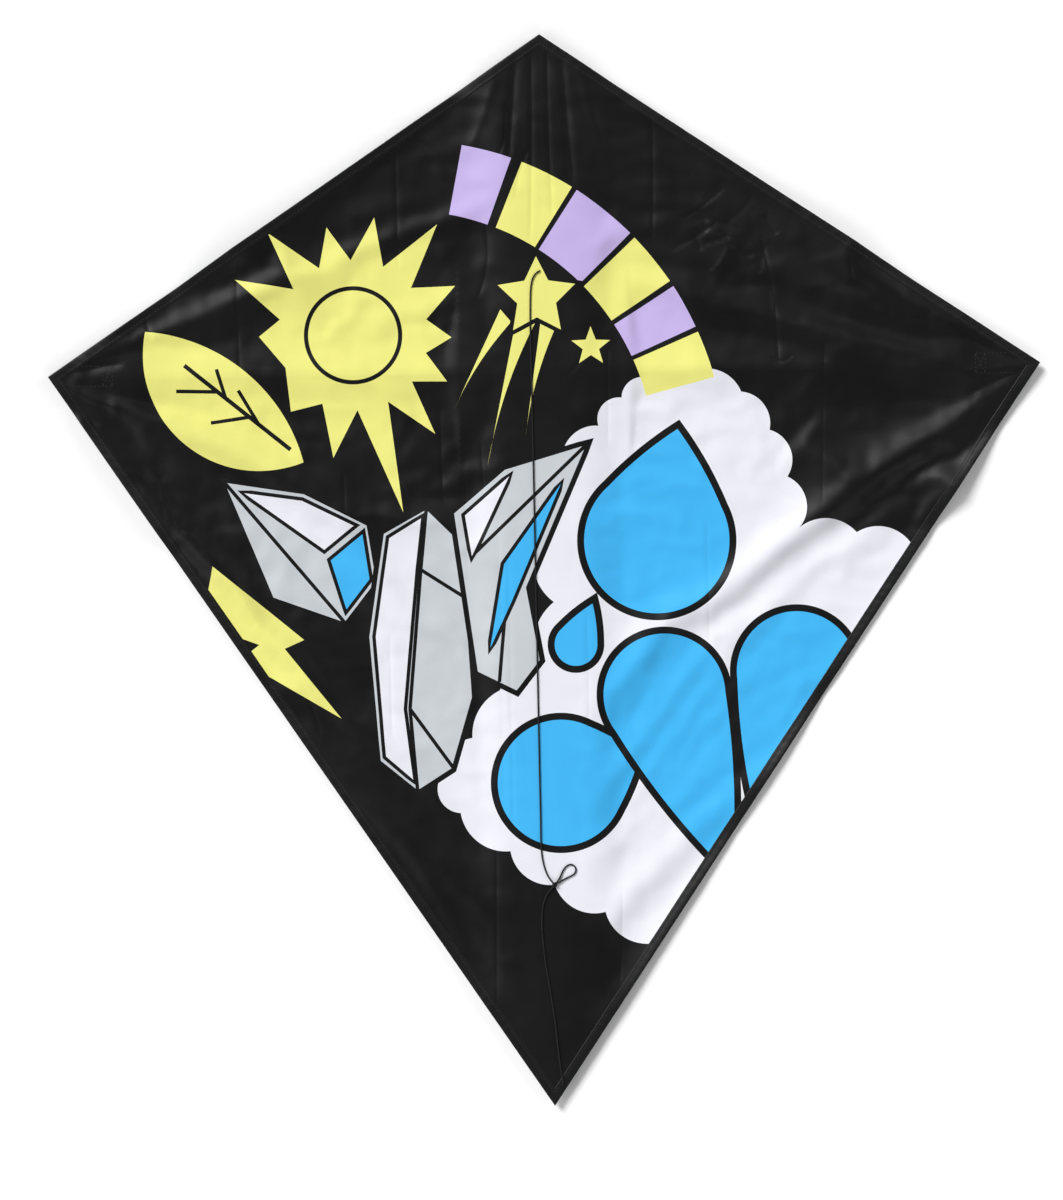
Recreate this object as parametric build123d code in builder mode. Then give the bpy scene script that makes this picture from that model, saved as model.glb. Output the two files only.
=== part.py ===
"""Diamond kite, face up: a taffeta sail on a spine and a folding cross-spar, with a two-leg bridle.

Millimetres. +Z is out of the printed face, +Y towards the nose, +X to the right.
The origin is at the middle of the kite's outline, on the plane that the kite lies on.
"""

import os
from math import atan2, pi, radians, sin, tan

from build123d import *

os.makedirs("parts", exist_ok=True)

# ---- Sail ----
kite_height = 1000
kite_span = 926
nose_to_spar = 313
sail_back = 7.2
sail_thickness = 0.4
binding_width = 9
binding_wall = 0.4
binding_fold = 1.0

# ---- Rods and end caps ----
rod_radius = 2.0
rod_z = 3.6
rod_fit = 0.05
cap_radius = 3.0
cap_length = 15
cap_floor = 2
nose_gap = 14
tail_gap = 20
tip_gap = 17

# ---- Fabric tunnels sewn on the back ----
sleeve_bore = 2.5
sleeve_wall = 0.4
sleeve_half_width = 15
pocket_bore = 3.1
pocket_wall = 0.5
pocket_length = 46
pocket_half_width = 11
pocket_end_wall = 1.0
flange_thickness = 0.4
seam_gap = 0.5

# ---- Folding hub ----
fold_x = 29
hub_half_width = 22
hub_half_length = 12
hub_top = 6.9
hub_mouth = 3.2
hub_corner = 3
pin_radius = 1.0
pin_head_radius = 1.7
pin_head_height = 0.8
pin_fit = 0.05
knuckle_radius = 3.2
knuckle_half_length = 5.8
ear_gap = 0.2
ear_thickness = 4
ear_root_x = 20
arm_radius = 3.4
arm_neck_x = 4
arm_length = 45
arm_socket_start = 14
arm_chamfer = 0.6
stop_ring_length = 6
stop_ring_radius = 3.3
fold_margin = 0.4
wing_edge_gap = 0.7
hub_notch_x = 4.5
hub_notch_half_length = 13

# ---- Bridle ----
cord_radius = 0.75
cord_lift = 0.02
hole_radius = 1.2
tow_knot_radius = 2.1
tail_hole_radius = 1.5
tail_knot_radius = 1.9
ring_window_half_width = 4.2
ring_window_half_length = 2.2

# ---- Worked out from the above ----
half_height = kite_height / 2
half_span = kite_span / 2
spar_y = half_height - nose_to_spar
sail_front = sail_back + sail_thickness
binding_back = sail_back - binding_wall
binding_height = sail_thickness + 2 * binding_wall
strip_half_width = fold_x - (sail_front - rod_z) - fold_margin
wing_edge_x = fold_x + wing_edge_gap
nose_end_y = half_height - nose_gap
tail_end_y = tail_gap - half_height
tip_end_x = half_span - tip_gap
nose_half_angle = atan2(half_span, nose_to_spar)
tail_half_angle = atan2(half_span, kite_height - nose_to_spar)
over_all = 2 * kite_height
on_sail = sail_front + cord_radius + cord_lift
sides = (("left", -1), ("right", 1))


def diamond(inset):
    """The outline's corners with every edge moved in by inset: nose, right, tail, left."""
    nose_y = half_height - inset / sin(nose_half_angle)
    tail_y = inset / sin(tail_half_angle) - half_height
    upper_slope = tan(nose_half_angle)
    lower_slope = tan(tail_half_angle)
    corner_y = (nose_y * upper_slope + tail_y * lower_slope) / (upper_slope + lower_slope)
    corner_x = (nose_y - corner_y) * upper_slope
    return [(0, nose_y), (corner_x, corner_y), (0, tail_y), (-corner_x, corner_y)]


def finish(piece, name):
    """Label a piece and write it as its own STEP file."""
    piece.label = name
    export_step(piece, f"parts/{name}.step")


def set_side(side):
    """Turn the right-hand piece under construction into the left-hand one."""
    if side < 0:
        mirror(about=Plane.YZ, mode=Mode.REPLACE)


# ---- Where the bridle runs: hand-laid points, x, y and height ----
upper_hole = (-2.3, 279.5)
tail_hole = (8.05, -481.7)
tow_knot_at = (3.0, -293.6, sail_front + tow_knot_radius + cord_lift)

upper_leg_route = [
    (-2.3, 279.5, 5.8),
    (-2.35, 279.45, 7.8),
    (-3.7, 278.8, 8.75),
    (-6.3, 277.1, 8.45),
    (-8.7, 273.8, on_sail),
    (-10.5, 269.0, on_sail),
    (-11.6, 261.0, on_sail),
    (-12.0, 248.0, on_sail),
    (-12.4, 222.0, on_sail),
    (-11.6, 165.0, on_sail),
    (-9.8, -190.0, on_sail),
    (-9.3, -232.0, on_sail),
    (-9.6, -254.0, on_sail),
    (-8.7, -268.0, on_sail),
    (-6.2, -279.5, on_sail),
    (-2.4, -288.2, 8.6),
    (1.6, -292.4, 9.5),
]

lower_leg_route = [
    (2.2, -295.0, 9.4),
    (-1.9, -299.0, 8.6),
    (-6.2, -305.8, on_sail),
    (-9.0, -315.0, on_sail),
    (-9.9, -330.0, on_sail),
    (-8.9, -349.0, on_sail),
    (-6.0, -373.0, on_sail),
    (-1.7, -399.5, on_sail),
    (1.9, -426.0, on_sail),
    (3.9, -450.0, 8.4),
    (6.0, -466.5, 8.6),
    (7.6, -476.5, 8.85),
    (8.0, -480.4, 8.85),
    (8.05, -482.0, 7.8),
    (8.06, -482.02, 5.6),
]

tow_loop_route = [
    (4.2, -292.4, 9.5),
    (7.4, -288.2, 8.9),
    (10.0, -282.0, 8.45),
    (12.3, -278.3, on_sail),
    (15.3, -275.7, on_sail),
    (18.6, -275.1, on_sail),
    (21.6, -276.7, on_sail),
    (23.0, -279.7, on_sail),
    (22.3, -283.0, on_sail),
    (19.9, -285.3, on_sail),
    (12.5, -288.2, 8.5),
    (4.9, -292.9, 9.4),
]


def corner_radii(points):
    """The largest arc at each corner: 0.45 of the shorter run, over the tangent of half the turn."""
    radii = []
    for before, corner, after in zip(points, points[1:], points[2:]):
        run_in = Vector(*corner) - Vector(*before)
        run_out = Vector(*after) - Vector(*corner)
        turn = run_in.get_angle(run_out)
        radii.append(0.45 * min(run_in.length, run_out.length) / tan(radians(turn / 2)))
    return radii


# ---- Sail: one sheet, cut at the two fold lines ----
with BuildPart() as sail_centre:
    with BuildSketch(Plane.XY.offset(sail_back)):
        Polygon(*diamond(binding_fold), align=None)
        Rectangle(2 * strip_half_width, over_all, mode=Mode.INTERSECT)
        with Locations(upper_hole):
            Circle(hole_radius, mode=Mode.SUBTRACT)
        with Locations(tail_hole):
            Circle(tail_hole_radius, mode=Mode.SUBTRACT)
    extrude(amount=sail_thickness)
finish(sail_centre.part, "sail_centre")

for side_name, side in sides:
    with BuildPart() as sail_wing:
        with BuildSketch(Plane.XY.offset(sail_back)):
            Polygon(*diamond(binding_fold), align=None)
            with Locations((wing_edge_x, 0)):
                Rectangle(over_all, over_all, align=(Align.MIN, Align.CENTER), mode=Mode.INTERSECT)
            with Locations((fold_x, spar_y)):
                Rectangle(2 * hub_notch_x, 2 * hub_notch_half_length, mode=Mode.SUBTRACT)
        extrude(amount=sail_thickness)
        set_side(side)
    finish(sail_wing.part, f"sail_{side_name}")


# ---- Edge binding: tape folded round the sail's edge ----
def binding_band(x_from, x_to, y_from, y_to):
    """The folded tape along the outline, inside one rectangle of the plan."""
    with BuildSketch(Plane.XY.offset(binding_back)) as band:
        Polygon(*diamond(0), align=None)
        Polygon(*diamond(binding_width), align=None, mode=Mode.SUBTRACT)
        with Locations(((x_from + x_to) / 2, (y_from + y_to) / 2)):
            Rectangle(x_to - x_from, y_to - y_from, mode=Mode.INTERSECT)
    extrude(band.sketch, amount=binding_height)
    with BuildSketch(Plane.XY.offset(sail_back)) as held_sail:
        Polygon(*diamond(binding_fold), align=None)
    extrude(held_sail.sketch, amount=sail_thickness, mode=Mode.SUBTRACT)


with BuildPart() as nose_binding:
    binding_band(-strip_half_width, strip_half_width, 0, kite_height)
finish(nose_binding.part, "nose_binding")

with BuildPart() as tail_binding:
    binding_band(-strip_half_width, strip_half_width, -kite_height, 0)
    with BuildSketch(Plane.XY.offset(binding_back)):
        with Locations(tail_hole):
            Circle(tail_hole_radius)
    extrude(amount=binding_height, mode=Mode.SUBTRACT)
finish(tail_binding.part, "tail_binding")

inner_corner_y = diamond(binding_width)[1][1]
for side_name, side in sides:
    with BuildPart() as binding_upper:
        binding_band(wing_edge_x, kite_span, inner_corner_y, kite_height)
        set_side(side)
    finish(binding_upper.part, f"binding_upper_{side_name}")

    with BuildPart() as binding_lower:
        binding_band(wing_edge_x, kite_span, -kite_height, inner_corner_y)
        set_side(side)
    finish(binding_lower.part, f"binding_lower_{side_name}")


# ---- Fabric tunnels on the back: the spine sleeve and the pockets ----
def tunnel(plane, across, length, bore, wall, half_width):
    """A U of fabric round a rod, with a flange sewn to the sail on each side of it."""
    height = sail_back - rod_z
    with BuildSketch(plane) as profile:
        with Locations((across, rod_z)):
            Circle(bore + wall)
            Rectangle(2 * (bore + wall), height, align=(Align.CENTER, Align.MIN))
        with Locations((across, sail_back)):
            Rectangle(2 * half_width, flange_thickness, align=(Align.CENTER, Align.MAX))
        with Locations((across, rod_z)):
            Circle(bore, mode=Mode.SUBTRACT)
            Rectangle(2 * bore, height, align=(Align.CENTER, Align.MIN), mode=Mode.SUBTRACT)
    extrude(profile.sketch, amount=length)


def closed_end(plane, across, bore):
    """The wall that closes a pocket at its outer end."""
    with BuildSketch(plane) as wall:
        with Locations((across, rod_z)):
            Circle(bore)
            Rectangle(2 * bore, binding_back - rod_z, align=(Align.CENTER, Align.MIN))
    extrude(wall.sketch, amount=pocket_end_wall)


def clear_of_binding():
    """Cut away whatever would lie in the edge binding."""
    with BuildSketch(Plane.XY.offset(binding_back)) as outside:
        Rectangle(over_all, over_all)
        Polygon(*diamond(binding_width), align=None, mode=Mode.SUBTRACT)
    extrude(outside.sketch, amount=binding_height, mode=Mode.SUBTRACT)


nose_pocket_start = nose_end_y + pocket_end_wall
tail_pocket_start = tail_end_y - pocket_end_wall + pocket_length
with BuildPart() as nose_pocket:
    nose_plane = Plane.XZ.offset(-nose_pocket_start)
    tunnel(nose_plane, 0, pocket_length, pocket_bore, pocket_wall, pocket_half_width)
    closed_end(nose_plane, 0, pocket_bore)
    clear_of_binding()
finish(nose_pocket.part, "nose_pocket")

with BuildPart() as tail_pocket:
    tail_plane = Plane.XZ.offset(-tail_pocket_start)
    tunnel(tail_plane, 0, pocket_length, pocket_bore, pocket_wall, pocket_half_width)
    closed_end(Plane.XZ.offset(-tail_end_y), 0, pocket_bore)
    clear_of_binding()
finish(tail_pocket.part, "tail_pocket")

hub_clearance = hub_half_length + seam_gap + stop_ring_length + 2 * seam_gap
upper_sleeve_start = nose_pocket_start - pocket_length - seam_gap
upper_sleeve_length = upper_sleeve_start - spar_y - hub_clearance
with BuildPart() as spine_sleeve_upper:
    sleeve_plane = Plane.XZ.offset(-upper_sleeve_start)
    tunnel(sleeve_plane, 0, upper_sleeve_length, sleeve_bore, sleeve_wall, sleeve_half_width)
    with Locations((0, upper_hole[1], sail_back / 2)):
        Box(2 * ring_window_half_width, 2 * ring_window_half_length, 2 * sail_back, mode=Mode.SUBTRACT)
finish(spine_sleeve_upper.part, "spine_sleeve_upper")

lower_sleeve_start = spar_y - hub_clearance
lower_sleeve_length = lower_sleeve_start - tail_pocket_start - seam_gap
with BuildPart() as spine_sleeve_lower:
    sleeve_plane = Plane.XZ.offset(-lower_sleeve_start)
    tunnel(sleeve_plane, 0, lower_sleeve_length, sleeve_bore, sleeve_wall, sleeve_half_width)
finish(spine_sleeve_lower.part, "spine_sleeve_lower")

for side_name, side in sides:
    with BuildPart() as wing_pocket:
        pocket_plane = Plane.YZ.offset(tip_end_x + pocket_end_wall - pocket_length)
        tunnel(pocket_plane, spar_y, pocket_length, pocket_bore, pocket_wall, pocket_half_width)
        closed_end(Plane.YZ.offset(tip_end_x), spar_y, pocket_bore)
        clear_of_binding()
        set_side(side)
    finish(wing_pocket.part, f"wing_pocket_{side_name}")


# ---- Rods and their end caps ----
def round_bar(plane, across, length, radius):
    """A round bar along the plane's normal at the height of the rods."""
    with BuildSketch(plane) as section:
        with Locations((across, rod_z)):
            Circle(radius)
    extrude(section.sketch, amount=length)


def end_cap(mouth_plane, across):
    """A vinyl cap: a cup that the rod's end is pushed into."""
    with BuildSketch(mouth_plane) as outside:
        with Locations((across, rod_z)):
            Circle(cap_radius)
    extrude(outside.sketch, amount=cap_length)
    with BuildSketch(mouth_plane) as bore:
        with Locations((across, rod_z)):
            Circle(rod_radius + rod_fit)
    extrude(bore.sketch, amount=cap_length - cap_floor, mode=Mode.SUBTRACT)


with BuildPart() as spine_rod:
    spine_length = nose_end_y - tail_end_y - 2 * cap_floor
    round_bar(Plane.XZ.offset(cap_floor - nose_end_y), 0, spine_length, rod_radius)
finish(spine_rod.part, "spine_rod")

with BuildPart() as spine_cap_nose:
    end_cap(Plane((0, nose_end_y - cap_length, 0), x_dir=(-1, 0, 0), z_dir=(0, 1, 0)), 0)
finish(spine_cap_nose.part, "spine_cap_nose")

with BuildPart() as spine_cap_tail:
    end_cap(Plane.XZ.offset(-tail_end_y - cap_length), 0)
finish(spine_cap_tail.part, "spine_cap_tail")

spar_start_x = fold_x + arm_socket_start
spar_length = tip_end_x - cap_floor - spar_start_x
for side_name, side in sides:
    with BuildPart() as spar:
        round_bar(Plane.YZ.offset(spar_start_x), spar_y, spar_length, rod_radius)
        set_side(side)
    finish(spar.part, f"spar_{side_name}")

    with BuildPart() as spar_cap:
        end_cap(Plane.YZ.offset(tip_end_x - cap_length), spar_y)
        set_side(side)
    finish(spar_cap.part, f"spar_cap_{side_name}")

# ---- Folding hub: a block that snaps on the spine, with a clevis for each wing's arm ----
ear_inner = knuckle_half_length + ear_gap
ear_outer = ear_inner + ear_thickness
with BuildPart() as hub_body:
    with BuildSketch():
        with Locations((0, spar_y)):
            RectangleRounded(2 * hub_half_width, 2 * hub_half_length, hub_corner)
    extrude(amount=hub_top)
    for side_name, side in sides:
        with BuildSketch(Plane.XZ.offset(-spar_y - ear_outer)):
            with Locations((side * (ear_root_x + fold_x) / 2, rod_z)):
                Rectangle(fold_x - ear_root_x, 2 * knuckle_radius)
            with Locations((side * fold_x, rod_z)):
                Circle(knuckle_radius)
        extrude(amount=2 * ear_outer)
        with BuildSketch(Plane.XY):
            with Locations((side * (hub_half_width + fold_x), spar_y)):
                Rectangle(2 * fold_x, 2 * ear_inner)
        extrude(amount=2 * hub_top, mode=Mode.SUBTRACT)
        with BuildSketch(Plane.XZ.offset(-spar_y - ear_outer)):
            with Locations((side * fold_x, rod_z)):
                Circle(pin_radius + pin_fit)
        extrude(amount=2 * ear_outer, mode=Mode.SUBTRACT)
    with BuildSketch(Plane.XZ.offset(-spar_y - hub_half_length)):
        with Locations((0, rod_z)):
            Circle(rod_radius + rod_fit)
            Rectangle(hub_mouth, hub_top, align=(Align.CENTER, Align.MIN))
    extrude(amount=2 * hub_half_length, mode=Mode.SUBTRACT)
finish(hub_body.part, "hub_body")

for side_name, side in sides:
    with BuildPart() as hub_pin:
        with BuildSketch(Plane.XZ.offset(-spar_y - ear_outer)):
            with Locations((side * fold_x, rod_z)):
                Circle(pin_radius)
        extrude(amount=2 * ear_outer)
        for head_y in (spar_y + ear_outer + pin_head_height, spar_y - ear_outer):
            with BuildSketch(Plane.XZ.offset(-head_y)):
                with Locations((side * fold_x, rod_z)):
                    Circle(pin_head_radius)
            extrude(amount=pin_head_height)
    finish(hub_pin.part, f"hub_pin_{side_name}")

    with BuildPart() as hub_arm:
        with BuildSketch(Plane.XZ.offset(-spar_y - knuckle_half_length)):
            with Locations((fold_x, rod_z)):
                Circle(knuckle_radius)
        extrude(amount=2 * knuckle_half_length)
        with Locations((fold_x, spar_y, rod_z)):
            Box(arm_neck_x + 1, 2 * arm_radius, 2 * knuckle_radius, align=(Align.MIN, Align.CENTER, Align.CENTER))
        barrel_plane = Plane.YZ.offset(fold_x + arm_neck_x)
        round_bar(barrel_plane, spar_y, arm_length - arm_neck_x, arm_radius)
        chamfer(hub_arm.faces().sort_by(Axis.X)[-1].edges(), arm_chamfer)
        with BuildSketch(Plane.YZ.offset(spar_start_x)):
            with Locations((spar_y, rod_z)):
                Circle(rod_radius + rod_fit)
        extrude(amount=arm_length, mode=Mode.SUBTRACT)
        with BuildSketch(Plane.XZ.offset(-spar_y - knuckle_half_length)):
            with Locations((fold_x, rod_z)):
                Circle(pin_radius + pin_fit)
        extrude(amount=2 * knuckle_half_length, mode=Mode.SUBTRACT)
        set_side(side)
    finish(hub_arm.part, f"hub_arm_{side_name}")

# ---- Stop rings that keep the hub in place on the spine ----
stop_offset = hub_half_length + seam_gap
for stop_name, ring_start in (
    ("hub_stop_upper", spar_y + stop_offset + stop_ring_length),
    ("hub_stop_lower", spar_y - stop_offset),
):
    with BuildPart() as stop_ring:
        with BuildSketch(Plane.XZ.offset(-ring_start)):
            with Locations((0, rod_z)):
                Circle(stop_ring_radius)
                Circle(rod_radius + rod_fit, mode=Mode.SUBTRACT)
        extrude(amount=stop_ring_length)
    finish(stop_ring.part, stop_name)


# ---- Bridle ----
def cord_tube(points, name):
    """A round line along straight runs joined by tangent arcs."""
    radii = corner_radii(points)
    with BuildLine():
        route = FilletPolyline(*points, radius=radii)
    with BuildSketch(Plane(origin=route @ 0, z_dir=route % 0)) as section:
        Circle(cord_radius)
    sweep(section.sketch, path=route)
    print(name, "length", round(route.length, 1), "radii", [round(r, 1) for r in radii])
    return route.length * pi * cord_radius**2


for cord_name, cord_points in (
    ("bridle_upper_leg", upper_leg_route),
    ("bridle_lower_leg", lower_leg_route),
    ("tow_loop", tow_loop_route),
):
    with BuildPart() as cord:
        expected = cord_tube(cord_points, cord_name)
    print(cord_name, "volume", round(cord.part.volume, 1), "section x length", round(expected, 1))
    finish(cord.part, cord_name)

with BuildPart() as tow_knot:
    with Locations(tow_knot_at):
        Sphere(tow_knot_radius)
finish(tow_knot.part, "tow_knot")

with BuildPart() as bridle_spine_ring:
    with Locations(Location((0, upper_hole[1], rod_z), (90, 0, 0))):
        Torus(rod_radius + rod_fit + cord_radius, cord_radius)
finish(bridle_spine_ring.part, "bridle_spine_ring")

with BuildPart() as bridle_tail_knot:
    with Locations((tail_hole[0], tail_hole[1], binding_back - tail_knot_radius - cord_lift)):
        Sphere(tail_knot_radius)
finish(bridle_tail_knot.part, "bridle_tail_knot")
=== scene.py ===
"""Diamond kite with a printed taffeta sail, lying face up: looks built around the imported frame."""

import math

import bpy
import numpy as np
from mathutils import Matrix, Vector, kdtree
from mathutils.bvhtree import BVHTree
from mathutils.geometry import delaunay_2d_cdt


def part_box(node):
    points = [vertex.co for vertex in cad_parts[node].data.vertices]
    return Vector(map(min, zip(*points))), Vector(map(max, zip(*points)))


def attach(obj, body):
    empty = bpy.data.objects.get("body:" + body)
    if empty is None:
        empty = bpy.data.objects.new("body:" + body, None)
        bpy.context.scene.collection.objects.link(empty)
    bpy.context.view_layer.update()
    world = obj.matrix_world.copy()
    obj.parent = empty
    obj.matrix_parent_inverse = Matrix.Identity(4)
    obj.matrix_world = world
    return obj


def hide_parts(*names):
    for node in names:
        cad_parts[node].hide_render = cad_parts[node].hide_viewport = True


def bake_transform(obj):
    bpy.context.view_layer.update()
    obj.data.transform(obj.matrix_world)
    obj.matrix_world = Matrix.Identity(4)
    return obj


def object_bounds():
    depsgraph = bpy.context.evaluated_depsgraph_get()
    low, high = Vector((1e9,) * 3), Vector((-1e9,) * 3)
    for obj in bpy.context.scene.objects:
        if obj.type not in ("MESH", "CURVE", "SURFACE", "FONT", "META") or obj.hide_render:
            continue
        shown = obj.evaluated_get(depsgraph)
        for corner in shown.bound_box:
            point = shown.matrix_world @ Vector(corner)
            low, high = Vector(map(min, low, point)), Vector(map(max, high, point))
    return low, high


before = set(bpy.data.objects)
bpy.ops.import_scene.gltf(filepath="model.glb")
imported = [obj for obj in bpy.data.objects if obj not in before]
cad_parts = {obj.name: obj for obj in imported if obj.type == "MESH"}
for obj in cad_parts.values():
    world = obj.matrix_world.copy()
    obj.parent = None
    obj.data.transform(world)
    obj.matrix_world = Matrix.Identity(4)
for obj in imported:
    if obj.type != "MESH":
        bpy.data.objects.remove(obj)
cad_low, cad_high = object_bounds()

MM = 0.001


def add_object(name, data):
    obj = bpy.data.objects.new(name, data)
    bpy.context.scene.collection.objects.link(obj)
    return obj


# ---------------------------------------------------------------- camera
# The photograph looks straight down; the kite is turned by less than a degree in it.
CAMERA_HEIGHT = 4.0
VIEW_HEIGHT = 1.1225
SENSOR = 24.0
ROLL = math.radians(-0.857)
AIM_RIGHT, AIM_UP = -14.5 * MM, -28.06 * MM
right_way = Vector((math.cos(ROLL), math.sin(ROLL), 0))
up_way = Vector((-math.sin(ROLL), math.cos(ROLL), 0))
camera_data = bpy.data.cameras.new("camera")
camera_data.sensor_fit = "VERTICAL"
camera_data.sensor_height = SENSOR
camera_data.sensor_width = SENSOR
camera_data.lens = SENSOR * CAMERA_HEIGHT / VIEW_HEIGHT
camera = add_object("camera", camera_data)
aim = AIM_RIGHT * right_way + AIM_UP * up_way
camera.location = (aim.x, aim.y, CAMERA_HEIGHT)
camera.rotation_euler = (0, 0, ROLL)
bpy.context.scene.camera = camera

# ---------------------------------------------------------------- bridle line
CORD_RADIUS = 0.75 * MM
UPPER_LEG = [
    (-2.3, 279.5, 5.8), (-2.35, 279.45, 7.8), (-3.7, 278.8, 8.75), (-6.3, 277.1, 8.45),
    (-8.7, 273.8, 8.37), (-10.5, 269.0, 8.37), (-11.6, 261.0, 8.37), (-12.0, 248.0, 8.37),
    (-12.4, 222.0, 8.37), (-11.6, 165.0, 8.37), (-9.8, -190.0, 8.37), (-9.3, -232.0, 8.37),
    (-9.6, -254.0, 8.37), (-8.7, -268.0, 8.37), (-6.2, -279.5, 8.37), (-2.4, -288.2, 8.6),
    (1.6, -292.4, 9.5),
]
LOWER_LEG = [
    (2.2, -295.0, 9.4), (-1.9, -299.0, 8.6), (-6.2, -305.8, 8.37), (-9.0, -315.0, 8.37),
    (-9.9, -330.0, 8.37), (-8.9, -349.0, 8.37), (-6.0, -373.0, 8.37), (-1.7, -399.5, 8.37),
    (1.9, -426.0, 8.37), (3.9, -450.0, 8.4), (6.0, -466.5, 8.6), (7.6, -476.5, 8.85),
    (8.0, -480.4, 8.85), (8.05, -482.0, 7.8), (8.06, -482.02, 5.6),
]
TOW_LOOP = [
    (4.2, -292.4, 9.5), (7.4, -288.2, 8.9), (10.0, -282.0, 8.45), (12.3, -278.3, 8.37),
    (15.3, -275.7, 8.37), (18.6, -275.1, 8.37), (21.6, -276.7, 8.37), (23.0, -279.7, 8.37),
    (22.3, -283.0, 8.37), (19.9, -285.3, 8.37), (12.5, -288.4, 8.5), (4.2, -293.2, 9.5),
]


def line_curve(name, route, node):
    """One open NURBS spline with the route's points, given in mm, as its control points."""
    data = bpy.data.curves.new(name, "CURVE")
    data.dimensions = "3D"
    spline = data.splines.new("NURBS")
    spline.points.add(len(route) - 1)
    for point, (x, y, z) in zip(spline.points, route):
        point.co = (x * MM, y * MM, z * MM, 1)
        point.radius = CORD_RADIUS  # a curve's box grows by this, so it is the line's own and the bevel is 1
    spline.order_u = 3
    spline.use_endpoint_u = True
    spline.resolution_u = 12
    data.bevel_depth = 1.0
    data.bevel_resolution = 5
    data.use_fill_caps = True
    obj = add_object(name, data)
    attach(obj, "spine_frame")
    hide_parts(node)
    return obj


upper_leg = line_curve("bridle_upper_line", UPPER_LEG, "bridle_upper_leg")
lower_leg = line_curve("bridle_lower_line", LOWER_LEG, "bridle_lower_leg")
tow_loop = line_curve("tow_loop_line", TOW_LOOP, "tow_loop")

# ---------------------------------------------------------------- places read from the frame
NOSE_Y = cad_high.y / MM
TAIL_Y = cad_low.y / MM
TIP_X = cad_high.x / MM
SPAR_LOW, SPAR_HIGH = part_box("spar_left")
SPAR_Y = (SPAR_LOW.y + SPAR_HIGH.y) / 2 / MM
ROD_Z = (SPAR_LOW.z + SPAR_HIGH.z) / 2 / MM
ROD_RADIUS = (SPAR_HIGH.z - SPAR_LOW.z) / 2 / MM
CLOTH_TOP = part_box("sail_centre")[1].z / MM
SEAM_X = 15.0
BODY_OF_SIDE = {-1: "left_wing", 1: "right_wing"}
SIDE_NAME = {-1: "left", 1: "right"}
NOSE, TAIL = (0.0, NOSE_Y), (0.0, TAIL_Y)
BLEND_START, BLEND_END = 22.0, 37.0

# ---------------------------------------------------------------- materials


class Graph:
    """A material's node tree with short calls for adding nodes and links."""

    def __init__(self, name):
        self.material = bpy.data.materials.new(name)
        self.material.use_nodes = True
        self.tree = self.material.node_tree
        self.tree.nodes.clear()
        self.out = self.add("ShaderNodeOutputMaterial")
        self.shader = self.add("ShaderNodeBsdfPrincipled")
        self.link(self.shader, 0, self.out, 0)

    def add(self, kind, settings=None, **values):
        """A node with its settings; values go to the inputs of those names, _ standing for a space."""
        node = self.tree.nodes.new(kind)
        for key, value in (settings or {}).items():
            setattr(node, key, value)
        for key, value in values.items():
            node.inputs[key.replace("_", " ")].default_value = value
        return node

    def link(self, a, a_socket, b, b_socket):
        self.tree.links.new(a.outputs[a_socket], b.inputs[b_socket])

    def mapped(self, place, **values):
        """The coordinates, turned or stretched."""
        node = self.add("ShaderNodeMapping", **values)
        self.link(place, vector_socket(place), node, "Vector")
        return node

    def noise(self, vector, scale, detail=2.0, roughness=0.5):
        node = self.add("ShaderNodeTexNoise", Scale=scale, Detail=detail, Roughness=roughness)
        self.link(vector, vector_socket(vector), node, "Vector")
        return node

    def math(self, operation, a, b):
        """a and b are nodes, (node, socket) pairs or numbers."""
        node = self.add("ShaderNodeMath", {"operation": operation})
        for index, value in enumerate((a, b)):
            if isinstance(value, (int, float)):
                node.inputs[index].default_value = value
            elif isinstance(value, tuple):
                self.link(value[0], value[1], node, index)
            else:
                self.link(value, 0, node, index)
        return node

    def sum(self, a, a_share, b, b_share):
        return self.math("ADD", self.math("MULTIPLY", a, a_share), self.math("MULTIPLY", b, b_share))

    def spread(self, source, low, high):
        """Maps the middle half of a 0 to 1 value to low to high."""
        node = self.add("ShaderNodeMapRange", From_Min=0.25, From_Max=0.75, To_Min=low, To_Max=high)
        self.link(source, 0, node, 0)
        return node

    def tint(self, tone, colour, dark, light):
        """The base colour, from dark to light times the colour as the tone rises."""
        node = self.add("ShaderNodeMix", {"data_type": "RGBA"})
        self.link(self.spread(tone, 0.0, 1.0), 0, node, 0)
        node.inputs[6].default_value = (*shade(colour, dark), 1)
        node.inputs[7].default_value = (*shade(colour, light), 1)
        self.link(node, 2, self.shader, "Base Color")

    def roughen(self, source, low, high):
        self.link(self.spread(source, low, high), 0, self.shader, "Roughness")

    def bump(self, height, strength, distance):
        node = self.add("ShaderNodeBump", Strength=strength, Distance=distance)
        self.link(height, 0, node, "Height")
        self.link(node, 0, self.shader, "Normal")


def vector_socket(node):
    return {"ShaderNodeTexCoord": "Object", "ShaderNodeUVMap": "UV"}.get(node.bl_idname, 0)


def shade(colour, factor):
    return tuple(min(1.0, channel * factor) for channel in colour)


WAVE_TURN = 0.314  # a wave texture repeats every WAVE_TURN / scale


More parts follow.
